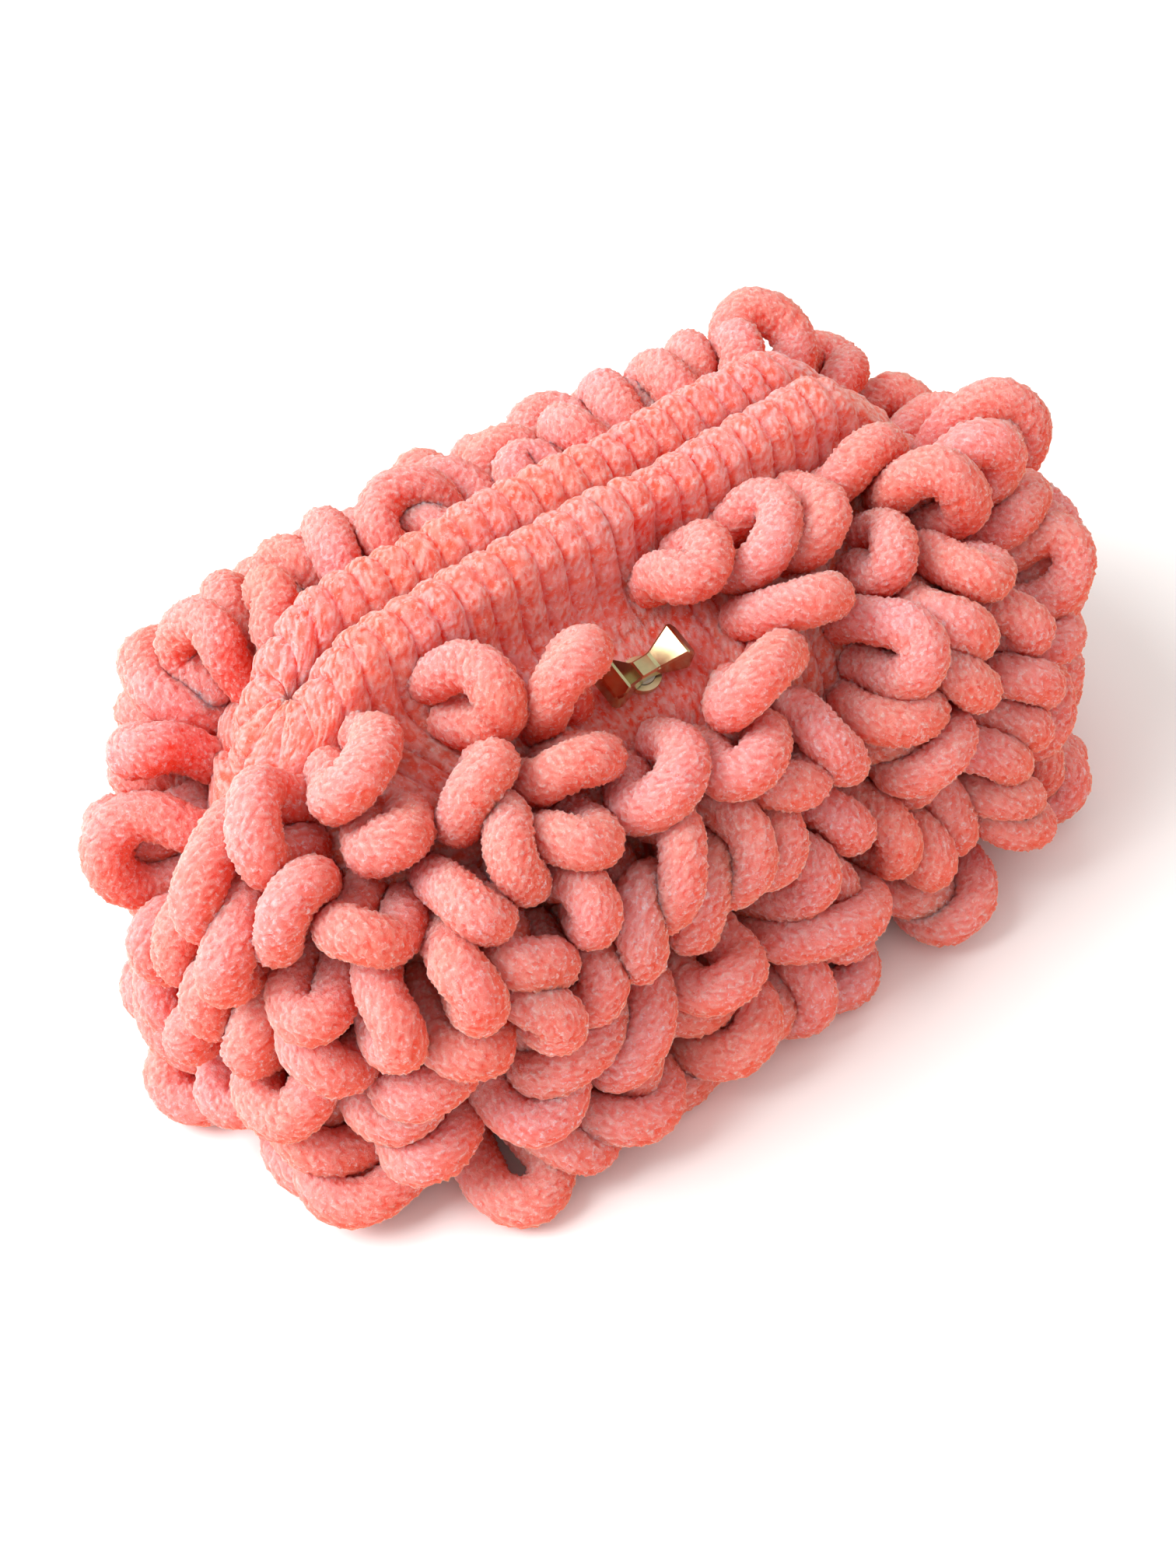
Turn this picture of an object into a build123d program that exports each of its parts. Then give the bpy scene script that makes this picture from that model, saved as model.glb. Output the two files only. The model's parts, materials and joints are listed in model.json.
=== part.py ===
"""Small loop-yarn clutch pouch with a ribbed mouth and a turn lock.

Units are millimetres.  +X runs along the mouth, -Y is the front, +Z is up.
The origin is the middle of the pouch's box, on the surface that it stands on.

The pouch is knitted from chunky chenille yarn: plain ground walls, long loops
standing out all round, and a ribbed band without loops round the mouth.  The
soft pieces here are plain closed solids of the size and place of the knit.
The front wall folds out to open the mouth.  It is a chain of three pieces
(lower, middle, upper) that share one fold axis inside the base.  The turn
lock sits in the front shoulder, just below the band; its knob turns a quarter
turn.
"""
from build123d import *
import math
import os

os.makedirs("parts", exist_ok=True)

# ---- driving dimensions: the knitted body ---------------------------------
HALF_LENGTH = 83.0        # half length and half depth of the ground knit
HALF_DEPTH = 38.0
BAND_TOP = 98.0           # rim of the mouth
SOFT_GAP = 0.3            # clearance between neighbouring soft pieces
BASE_TOP = 17.0           # top of the base panel
BAND_HEIGHT = 22.0        # height of the ribbed band
SHOULDER_HEIGHT = 6.0     # height of the ledge below the band
SHOULDER_THICK = 7.5      # thickness of the knit at the ledge
RIM_ROUND = 3.5           # rounding of the rim's edges
RIM_SLOPE_LENGTH = 22.0   # the rim slopes down over this length at each end
RIM_SLOPE_DROP = 15.0
CORNER_EASE = 2.0         # how much less than the half depth a corner radius is
BAND_BOTTOM = BAND_TOP - BAND_HEIGHT
SHOULDER = BAND_BOTTOM - SHOULDER_HEIGHT

# Ground knit, outside: height, half length, half depth, centre.
# The last two levels are the shoulder, a ledge that slopes up to the band.
BAND_HALF_LENGTH = HALF_LENGTH - 7
WALL_OUTER = [
    (9.0, HALF_LENGTH - 5, HALF_DEPTH - 3, 0.0),
    (30.0, HALF_LENGTH, HALF_DEPTH, 0.0),
    (55.0, HALF_LENGTH, HALF_DEPTH - 1, 0.0),
    (SHOULDER, HALF_LENGTH - 4, HALF_DEPTH - 8, 1.5),
    (BAND_BOTTOM - SOFT_GAP, BAND_HALF_LENGTH, HALF_DEPTH - 19, 4.0),
]
# The same, inside, up to the shoulder.  Over the shoulder the knit keeps one thickness.
WALL_INNER = [
    (BASE_TOP - SOFT_GAP, HALF_LENGTH - 13, HALF_DEPTH - 11, 0.0),
    (30.0, HALF_LENGTH - 8, HALF_DEPTH - 8, 0.0),
    (55.0, HALF_LENGTH - 8, HALF_DEPTH - 9, 0.0),
]
NECK = (BAND_BOTTOM, HALF_LENGTH - 15, 9.5, 4.5)

# Ribbed band: height, half length and half depth at its bottom and at the rim.
MOUTH_CENTRE = 5.0
BAND_OUTER = [(BAND_BOTTOM, BAND_HALF_LENGTH, 15.0), (BAND_TOP, BAND_HALF_LENGTH - 3, 12.0)]
BAND_INNER = [(BAND_BOTTOM, BAND_HALF_LENGTH - 9, 6.0), (BAND_TOP, BAND_HALF_LENGTH - 12, 2.3)]

# Loop rows from the floor up: how far the tips stand out at the ends and at the sides.
ROW_REACH = [(18.0, 18.0), (21.0, 21.0), (21.0, 21.0), (19.0, 19.0), (15.0, 15.0), (9.0, 7.0)]
TOP_ROW = BAND_BOTTOM - 2  # where the highest row starts
ROW_PITCH = TOP_ROW / (len(ROW_REACH) - 1)
LOOP_TOP = BAND_TOP - 10  # top of the highest row
LOOP_ROUND = 4.5          # rounding of a row's outer edges
LOOP_ROWS = [(index * ROW_PITCH, HALF_LENGTH + end, HALF_DEPTH + side)
             for index, (end, side) in enumerate(ROW_REACH)]
BASE_LOOP_HEIGHT = 8.7    # loops under the base, flattened by the weight
BASE_LOOP_LENGTH = 2 * HALF_LENGTH - 12
BASE_LOOP_DEPTH = 2 * HALF_DEPTH - 6
PATCH_HALF = 18.0         # half length of the patch without loops above the knob
PATCH_FRONT = 8 - HALF_DEPTH  # where that patch ends towards the front

# Where the front and back pieces meet the end pieces, in plan: the distance
# from the middle at the mouth's centre line, and how fast it grows away from it.
# Above the upper fold the ends start outside the walls, so that they can swing.
END_SPLIT = (HALF_LENGTH - 21, 0.62)
UPPER_END_SPLIT = (HALF_LENGTH + 1, 0.3)

# ---- driving dimensions: the folding front --------------------------------
FOLD_Y = -8.0             # fold axis, parallel to X
FOLD_Z = 12.0
MOUTH_ANGLE = 16.0        # how far the upper front turns out
MIDDLE_SHARE = 0.5        # the middle front turns half as far
LOW_FOLD_ROW = 2          # the lower fold runs under this row of loops
HIGH_FOLD_ROW = 4         # the upper fold runs under this one
FOLD_EASE = 1.0           # angle kept spare in each fold, degrees
FOLD_CLEAR = 0.8          # clearance kept at the fold axis side
END_FOLD_CLEAR = 2.4      # the same, where the upper front passes over the ends
END_FOLD_START = HALF_LENGTH - 25  # distance from the middle where that begins

# ---- driving dimensions: the turn lock ------------------------------------
# Depths run from the shoulder's outer face into the knit; outside is negative.
LOCK_PLACE = -7.0         # the lock sits a little to the left of the middle
KNOB_LENGTH = 18.0
KNOB_END_WIDTH = 7.6
KNOB_WAIST_WIDTH = 3.8
KNOB_CREST = 6.2          # height of each wing's ridge
KNOB_WAIST = 2.4          # height at the narrow middle
KNOB_END = 3.4            # height at the tips, outside the ridge
CREST_PLACE = 0.74        # where the ridge is, as a share of the half length
KNOB_EDGE = 0.35          # small bevel on the knob's edges
KNOB_LIFT = 0.6           # how far the knob's flat back stands off the knit
KNOB_CLEAR = 2.0          # room kept round the knob's sweep
SPINDLE_RADIUS = 2.4
RIVET_RADIUS = 1.4        # spindle's end, riveted into the knob
RIVET_LENGTH = 1.0
RUNNING_CLEAR = 0.08      # radial clearance of the spindle in its bore
FLANGE_LENGTH = 26.0      # lock base, let into the shoulder
FLANGE_WIDTH = 14.0
FLANGE_TOP = 1.5          # depth of the flange's face
FLANGE_THICK = 1.2
BOSS_RADIUS = 3.6         # collar round the spindle above the flange
HOUSING_RADIUS = 6.5
HOUSING_DEPTH = 4.3
HOUSING_WALL = 0.9
CAM_SIDE = 7.0            # square collar that keeps the spindle in
CAM_THICK = 1.6
SPRING_THICK = 0.6
SPRING_RADIUS = 4.8
COVER_THICK = 0.8
LOCK_PLAY = 0.1           # free play between the lock's inner pieces
LEG_PLACE = 9.5           # prong legs, either side of the housing
LEG_WIDTH = 3.0
LEG_THICK = 0.8
LEG_FOOT = 3.5            # bent-over length of each leg
WASHER_LENGTH = 26.0      # plate behind the shoulder that the legs are bent over
WASHER_WIDTH = 12.0
WASHER_THICK = 1.0

FAR = 400.0               # larger than the object, for cutting blocks


# ---- outlines -------------------------------------------------------------
def outline(half_length, half_depth, centre_y, z):
    """Rounded outline with nearly round ends, at height z."""
    radius = half_depth - min(CORNER_EASE, half_depth / 10)
    shape = RectangleRounded(2 * half_length, 2 * half_depth, radius)
    return Pos(0, centre_y, z) * shape


def wall_solid(levels, grow=0):
    """One face of the ground knit filled solid, grown level by `grow`."""
    sections = [outline(a + grow, b + grow, c, z) for z, a, b, c in levels]
    return loft(sections, ruled=True)


def band_solid(levels, grow):
    """One face of the ribbed band filled solid, grown by `grow`."""
    sections = [outline(a + grow, b + grow, MOUTH_CENTRE, z) for z, a, b in levels]
    return loft(sections, ruled=True)


def block(y=(-FAR, FAR), z=(-FAR, FAR), x=(-FAR, FAR)):
    """Box between two limits on each axis."""
    size = (x[1] - x[0], y[1] - y[0], z[1] - z[0])
    centre = ((x[0] + x[1]) / 2, (y[0] + y[1]) / 2, (z[0] + z[1]) / 2)
    return Pos(*centre) * Box(*size)


def above_fold(level, turn, clear):
    """Everything above a fold: a plane that rises outward by the turn."""
    angle = math.radians(turn + FOLD_EASE)
    start = Plane(origin=(0, FOLD_Y, level + clear), x_dir=(1, 0, 0),
                  z_dir=(0, math.sin(angle), math.cos(angle)))
    return start * Pos(0, 0, FAR / 2) * Box(FAR, FAR, FAR)


# ---- splitting a ring of knit into its pieces -----------------------------
HALF = SOFT_GAP / 2
FOLD_LOW = LOOP_ROWS[LOW_FOLD_ROW][0]
FOLD_HIGH = LOOP_ROWS[HIGH_FOLD_ROW][0]
MIDDLE_TURN = MOUTH_ANGLE * MIDDLE_SHARE
UPPER_TURN = MOUTH_ANGLE - MIDDLE_TURN


def plan_region(side, split, grow):
    """Front (-1) or back (+1) of the pouch in plan, out to the end pieces."""
    start, slope = split
    near = start + grow
    far = near + slope * FAR
    line = MOUTH_CENTRE + side * HALF
    points = [(-near, line), (near, line), (far, line + side * FAR), (-far, line + side * FAR)]
    return make_face(Polyline(*points, close=True))


def side_region(side, grow=-HALF):
    """The plan region as a solid: wider above the upper fold."""
    below = extrude(Pos(0, 0, FOLD_HIGH - FAR) * plan_region(side, END_SPLIT, grow), FAR)
    above = extrude(Pos(0, 0, FOLD_HIGH) * plan_region(side, UPPER_END_SPLIT, grow), FAR)
    return below + above


def front_between(shape, low, high):
    return shape & side_region(-1) & block(z=(low, high))


def lower_front(shape):
    return front_between(shape, -FAR, FOLD_LOW - SOFT_GAP)


def middle_front(shape):
    raised = front_between(shape, FOLD_LOW, FOLD_HIGH - SOFT_GAP)
    return raised & above_fold(FOLD_LOW, MIDDLE_TURN, FOLD_CLEAR)


def upper_front(shape):
    """The part that turns furthest; it rises more where it passes over the ends."""
    raised = front_between(shape, FOLD_HIGH, FAR) & above_fold(FOLD_HIGH, UPPER_TURN, FOLD_CLEAR)
    over_ends = above_fold(FOLD_HIGH, MOUTH_ANGLE, END_FOLD_CLEAR)
    middle = block(x=(-END_FOLD_START, END_FOLD_START))
    return raised & (over_ends + middle)


def back_of(shape):
    return shape & side_region(1)


def end_of(shape, side):
    """The left (-1) or right (+1) end of a ring, outside the swinging band."""
    start = UPPER_END_SPLIT[0]
    beside_band = block(x=(start, FAR) if side > 0 else (-FAR, -start))
    under_fold = block(x=(0, FAR) if side > 0 else (-FAR, 0), z=(-FAR, FOLD_HIGH - SOFT_GAP))
    rest = shape - side_region(-1, HALF) - side_region(1, HALF)
    return rest & (beside_band + under_fold)


# ---- the lock's place on the shoulder -------------------------------------
def shoulder_plane():
    """Middle of the front ledge; its Z points out of the knit, its X along the mouth."""
    low_z, _, low_depth, low_centre = WALL_OUTER[-2]
    high_z, _, high_depth, high_centre = WALL_OUTER[-1]
    low_y = low_centre - low_depth
    high_y = high_centre - high_depth
    run = math.hypot(high_y - low_y, high_z - low_z)
    normal = (0, -(high_z - low_z) / run, (high_y - low_y) / run)
    middle = (LOCK_PLACE, (low_y + high_y) / 2, (low_z + high_z) / 2)
    return Plane(origin=middle, x_dir=(1, 0, 0), z_dir=normal)


LOCK = shoulder_plane()


def inner_levels():
    """Levels of the knit's inner face; along the shoulder it runs parallel to the ledge."""
    drop = SHOULDER_THICK * LOCK.z_dir.Z
    inset = -SHOULDER_THICK * LOCK.z_dir.Y
    ledge = [(z - drop, length - SHOULDER_THICK, depth - inset, centre)
             for z, length, depth, centre in WALL_OUTER[-2:]]
    return WALL_INNER + ledge + [NECK]


def lock_rod(top, bottom, radius):
    """Round bar on the lock's axis between two depths."""
    return LOCK * Pos(0, 0, -(top + bottom) / 2) * Cylinder(radius, bottom - top)


def lock_bar(top, bottom, length, width, x=0):
    """Block centred on the lock's axis between two depths."""
    return LOCK * Pos(x, 0, -(top + bottom) / 2) * Box(length, width, bottom - top)


FLANGE_BACK = FLANGE_TOP + FLANGE_THICK
HOUSING_BACK = FLANGE_BACK + HOUSING_DEPTH
WASHER_FRONT = SHOULDER_THICK + SOFT_GAP
WASHER_BACK = WASHER_FRONT + WASHER_THICK
CAM_FRONT = FLANGE_BACK + LOCK_PLAY
CAM_BACK = CAM_FRONT + CAM_THICK
COVER_BACK = HOUSING_BACK - LOCK_PLAY
COVER_FRONT = COVER_BACK - COVER_THICK


def knob_sweep():
    """Room over the shoulder for the turning knob."""
    return lock_rod(-FAR / 4, -SOFT_GAP / 2, KNOB_LENGTH / 2 + KNOB_CLEAR)


def lock_pocket():
    """Hollow in the shoulder for the lock's base and its legs."""
    clear = SOFT_GAP
    room = lock_bar(-clear, FLANGE_BACK + clear, FLANGE_LENGTH + 2 * clear, FLANGE_WIDTH + 2 * clear)
    room += lock_rod(-clear, WASHER_BACK, HOUSING_RADIUS + clear)
    for side in (-1, 1):
        room += lock_bar(-clear, WASHER_BACK, LEG_THICK + 2 * clear, LEG_WIDTH + 2 * clear,
                         side * LEG_PLACE)
    return room


# ---- knitted ground -------------------------------------------------------
def base_panel():
    return wall_solid(WALL_OUTER) & block(z=(0, BASE_TOP - SOFT_GAP))


def wall_ring():
    ring = wall_solid(WALL_OUTER) - wall_solid(inner_levels())
    ring &= block(z=(BASE_TOP, FAR))
    return ring - lock_pocket()


def base_loops():
    radius = BASE_LOOP_DEPTH / 2 - CORNER_EASE
    return extrude(RectangleRounded(BASE_LOOP_LENGTH, BASE_LOOP_DEPTH, radius), BASE_LOOP_HEIGHT)


def bare_patch():
    """Space above the knob where the band shows and no loops stand."""
    sides = (LOCK_PLACE - PATCH_HALF, LOCK_PLACE + PATCH_HALF)
    return block(x=sides, y=(PATCH_FRONT, MOUTH_CENTRE), z=(SHOULDER, FAR))


def loop_row(index):
    """One whole row of loops: a rounded ring round the ground knit."""
    low, half_length, half_depth = LOOP_ROWS[index]
    is_top = index == len(LOOP_ROWS) - 1
    high = LOOP_TOP if is_top else LOOP_ROWS[index + 1][0] - SOFT_GAP
    ring = extrude(outline(half_length, half_depth, 0, low), high - low)
    outer_edges = ring.edges().filter_by(Plane.XY)
    ring = fillet(outer_edges, LOOP_ROUND)
    ring -= wall_solid(WALL_OUTER, SOFT_GAP) + band_solid(BAND_OUTER, SOFT_GAP)
    neck = outline(BAND_HALF_LENGTH + SOFT_GAP, BAND_OUTER[0][2] + SOFT_GAP, MOUTH_CENTRE, WALL_OUTER[-1][0])
    ring -= extrude(neck, SOFT_GAP)
    under_base = outline(BASE_LOOP_LENGTH / 2 + SOFT_GAP, BASE_LOOP_DEPTH / 2 + SOFT_GAP, 0, 0)
    ring -= extrude(under_base, WALL_OUTER[0][0])
    if index >= HIGH_FOLD_ROW:
        ring -= knob_sweep()
        ring -= bare_patch()
    return ring


# ---- ribbed band round the mouth ------------------------------------------
def band_ring():
    ring = band_solid(BAND_OUTER, 0) - band_solid(BAND_INNER, 0)
    rim = ring.edges().group_by(Axis.Z)[-1]
    return fillet(rim, RIM_ROUND) & rim_envelope()


def rim_envelope():
    """Space below the rim, which slopes down at both ends of the mouth."""
    tip = BAND_HALF_LENGTH + 1
    level = tip - RIM_SLOPE_LENGTH
    low = BAND_TOP - RIM_SLOPE_DROP
    points = [(-tip, 0), (tip, 0), (tip, low), (level, BAND_TOP), (-level, BAND_TOP), (-tip, low)]
    return extrude(Plane.XZ * make_face(Polyline(*points, close=True)), FAR, both=True)


def front_band():
    return band_ring() & block(y=(-FAR, MOUTH_CENTRE - HALF))


def back_band():
    return band_ring() & block(y=(MOUTH_CENTRE + HALF, FAR))


# ---- turn lock ------------------------------------------------------------
def knob_profile():
    """Side view of the knob: two ridged wings and a low waist."""
    tip = KNOB_LENGTH / 2
    crest = tip * CREST_PLACE
    waist = KNOB_WAIST_WIDTH / 2
    points = [(-tip, 0), (tip, 0), (tip, KNOB_END), (crest, KNOB_CREST), (waist, KNOB_WAIST),
              (-waist, KNOB_WAIST), (-crest, KNOB_CREST), (-tip, KNOB_END)]
    return make_face(Polyline(*points, close=True))


def knob_plan():
    """Top view of the knob: a bow tie, narrow in the middle."""
    tip = KNOB_LENGTH / 2
    end = KNOB_END_WIDTH / 2
    waist = KNOB_WAIST_WIDTH / 2
    corner = tip - end / 3
    points = [(-tip, -end * 0.8), (-corner, -end), (-waist, -waist), (waist, -waist),
              (corner, -end), (tip, -end * 0.8), (tip, end * 0.8), (corner, end),
              (waist, waist), (-waist, waist), (-corner, end), (-tip, end * 0.8)]
    return make_face(Polyline(*points, close=True))


def lock_knob():
    """Bow-tie knob; it is shaped flat on the ground and then set on the lock's axis."""
    plan = extrude(knob_plan(), KNOB_CREST + 1)
    profile = extrude(Rot(90, 0, 0) * knob_profile(), KNOB_LENGTH, both=True)
    knob = plan & profile
    upper_edges = knob.edges().filter_by(lambda edge: edge.center().Z > KNOB_EDGE)
    knob = chamfer(upper_edges, KNOB_EDGE)
    knob -= Pos(0, 0, RIVET_LENGTH / 2) * Cylinder(RIVET_RADIUS, RIVET_LENGTH)
    return LOCK * Pos(0, 0, KNOB_LIFT) * knob


def lock_spindle():
    shaft = lock_rod(-KNOB_LIFT, CAM_BACK, SPINDLE_RADIUS)
    rivet = lock_rod(-KNOB_LIFT - RIVET_LENGTH, -KNOB_LIFT, RIVET_RADIUS)
    cam = lock_bar(CAM_FRONT, CAM_BACK, CAM_SIDE, CAM_SIDE)
    return shaft + rivet + cam


def lock_spring_washer():
    """Ring that presses the cam against the flange, for the click."""
    front = CAM_BACK + LOCK_PLAY
    ring = lock_rod(front, front + SPRING_THICK, SPRING_RADIUS)
    return ring - lock_rod(front - 1, front + SPRING_THICK + 1, SPINDLE_RADIUS)


def lock_rear_cover():
    return lock_rod(COVER_FRONT, COVER_BACK, HOUSING_RADIUS - HOUSING_WALL - LOCK_PLAY / 2)


def lock_base():
    flange = lock_bar(FLANGE_TOP, FLANGE_BACK, FLANGE_LENGTH, FLANGE_WIDTH)
    housing = lock_rod(FLANGE_BACK, HOUSING_BACK, HOUSING_RADIUS)
    housing -= lock_rod(FLANGE_BACK, HOUSING_BACK, HOUSING_RADIUS - HOUSING_WALL)
    base = flange + housing + lock_rod(0, FLANGE_TOP, BOSS_RADIUS)
    for side in (-1, 1):
        base += lock_bar(FLANGE_BACK, WASHER_BACK + LEG_THICK, LEG_THICK, LEG_WIDTH, side * LEG_PLACE)
        foot_centre = side * (LEG_PLACE - LEG_FOOT / 2)
        base += lock_bar(WASHER_BACK, WASHER_BACK + LEG_THICK, LEG_FOOT + LEG_THICK, LEG_WIDTH, foot_centre)
    return base - lock_rod(-1, FLANGE_BACK + SOFT_GAP, SPINDLE_RADIUS + RUNNING_CLEAR)


def lock_backing_washer():
    washer = lock_bar(WASHER_FRONT, WASHER_BACK, WASHER_LENGTH, WASHER_WIDTH)
    for side in (-1, 1):
        washer -= lock_bar(WASHER_FRONT - 1, WASHER_BACK + 1, LEG_THICK + 2 * LOCK_PLAY,
                           LEG_WIDTH + 2 * LOCK_PLAY, side * LEG_PLACE)
    return washer


# ---- all pieces -----------------------------------------------------------
def knit_pieces():
    ring = wall_ring()
    pieces = {
        "base_panel": base_panel(),
        "base_loops": base_loops(),
        "front_panel_lower": lower_front(ring),
        "front_panel_middle": middle_front(ring),
        "front_panel_upper": upper_front(ring),
        "back_panel": back_of(ring),
        "left_end_panel": end_of(ring, -1),
        "right_end_panel": end_of(ring, 1),
        "front_band": front_band(),
        "back_band": back_band(),
    }
    return pieces


def loop_pieces():
    """Rows are numbered from the floor up."""
    front_cut = [lower_front, lower_front, middle_front, middle_front, upper_front, upper_front]
    pieces = {}
    for index, cut in enumerate(front_cut):
        ring = loop_row(index)
        number = index + 1
        pieces[f"front_loops_{number}"] = cut(ring)
        pieces[f"back_loops_{number}"] = back_of(ring)
        pieces[f"left_end_loops_{number}"] = end_of(ring, -1)
        pieces[f"right_end_loops_{number}"] = end_of(ring, 1)
    return pieces


def lock_pieces():
    pieces = {
        "lock_knob": lock_knob(),
        "lock_spindle": lock_spindle(),
        "lock_spring_washer": lock_spring_washer(),
        "lock_rear_cover": lock_rear_cover(),
        "lock_base": lock_base(),
        "lock_backing_washer": lock_backing_washer(),
    }
    return pieces


print("lock axis", LOCK.origin, LOCK.z_dir)
for name, shape in {**knit_pieces(), **loop_pieces(), **lock_pieces()}.items():
    export_step(shape, f"parts/{name}.step")
    box = shape.bounding_box()
    print(f"{name:22s} {len(shape.solids())} solid  {shape.volume / 1000:8.2f} cm3"
          f"  x {box.min.X:.1f}..{box.max.X:.1f}  y {box.min.Y:.1f}..{box.max.Y:.1f}"
          f"  z {box.min.Z:.1f}..{box.max.Z:.1f}")
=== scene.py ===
"""Looks of the loop-yarn clutch pouch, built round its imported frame.

The frame is in metres.  Shapes here are worked out in millimetres, in the same
axes (+X along the mouth, -Y the front, +Z up), and turned into metres where a
mesh is made.  The knit is one shell of ribs; the loops are tubes of yarn that
hang and press against each other, settled by a small particle solver.
"""
import json
import math

import bpy
import numpy as np
from mathutils import Matrix, Vector


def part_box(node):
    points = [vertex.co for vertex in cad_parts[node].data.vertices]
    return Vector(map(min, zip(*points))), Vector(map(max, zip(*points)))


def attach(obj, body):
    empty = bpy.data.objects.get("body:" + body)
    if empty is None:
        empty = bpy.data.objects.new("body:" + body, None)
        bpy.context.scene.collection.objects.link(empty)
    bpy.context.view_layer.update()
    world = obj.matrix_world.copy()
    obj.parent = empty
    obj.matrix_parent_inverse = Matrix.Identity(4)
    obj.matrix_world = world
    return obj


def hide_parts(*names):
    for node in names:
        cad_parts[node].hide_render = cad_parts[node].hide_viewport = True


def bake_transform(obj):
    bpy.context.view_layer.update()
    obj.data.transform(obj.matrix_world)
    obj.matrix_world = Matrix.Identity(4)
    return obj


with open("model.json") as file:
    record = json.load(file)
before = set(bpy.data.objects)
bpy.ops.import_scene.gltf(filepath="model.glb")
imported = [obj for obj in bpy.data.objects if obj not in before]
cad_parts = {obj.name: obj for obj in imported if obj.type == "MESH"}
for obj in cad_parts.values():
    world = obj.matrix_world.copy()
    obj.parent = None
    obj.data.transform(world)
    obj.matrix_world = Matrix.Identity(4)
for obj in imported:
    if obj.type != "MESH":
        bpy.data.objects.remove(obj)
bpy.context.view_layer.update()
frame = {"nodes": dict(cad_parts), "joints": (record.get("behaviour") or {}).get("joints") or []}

MM = 0.001


def node_box(name):
    """Lowest and highest corner of a CAD node, in millimetres."""
    low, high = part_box(name)
    return [value / MM for value in low], [value / MM for value in high]


# ---- sizes from the frame --------------------------------------------------
ROWS = 6
BAND_LOW, BAND_HIGH = node_box("back_band")
RIM_Z = BAND_HIGH[2]
BAND_FOOT = BAND_LOW[2]
BAND_HALF = BAND_HIGH[0]
BAND_BACK = BAND_HIGH[1]
BAND_FRONT = node_box("front_band")[0][1]
MOUTH_Y = (BAND_BACK + BAND_FRONT) / 2
BAND_DEPTH = (BAND_BACK - BAND_FRONT) / 2
WALL_HALF = node_box("right_end_panel")[1][0]
WALL_DEPTH = node_box("back_panel")[1][1]
BASE_Z = node_box("base_loops")[1][2]
BASE_TOP = node_box("base_panel")[1][2]
ROW_LOW = [node_box(f"back_loops_{row + 1}")[0][2] for row in range(ROWS)]
ROW_HALF = [node_box(f"right_end_loops_{row + 1}")[1][0] for row in range(ROWS)]
ROW_DEPTH = [node_box(f"back_loops_{row + 1}")[1][1] for row in range(ROWS)]
LOW_FOLD = ROW_LOW[2]      # the middle front pieces begin here
HIGH_FOLD = ROW_LOW[4]     # and the upper one from here up
LOCK = next(joint for joint in frame["joints"] if joint["name"] == "knob_turn")

# ---- sizes of the knit -----------------------------------------------------
YARN = 8.8                # diameter of the yarn, pile included
RIBS = 56                 # ribs round the mouth
RIB_HEIGHT = 1.5
STITCH = 6.0              # length of a stitch along a rib
PILE = 0.5                # height of the pile's tufts
TUFT = 1.0                # spacing of the tufts
SHOULDER_Z = 70.0
SHOULDER_DEPTH = 30.0
ARC_SHARE = 0.18          # share of a quarter of the shell that is its rounded end
POINTS_PER_RIB = 10
FINE_STEP = 0.75          # spacing of the shell's points round the mouth
COARSE_STEP = 2.4         # and elsewhere
BUMPY = 1.6               # height of the slow unevenness of the knit
LOCK_FLAT = 13.0          # the knit is flat this near the lock's axis
LOCK_FADE = 19.0          # and fully ribbed beyond this
LOCK_SINK = 0.9           # how far the knit sinks at the lock
DIMPLE_X = 9.0            # middle of a dent in the front lip
DIMPLE_Z = 86.0
DIMPLE_SIZE = 7.0
DIMPLE_DEPTH = 2.6

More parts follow.
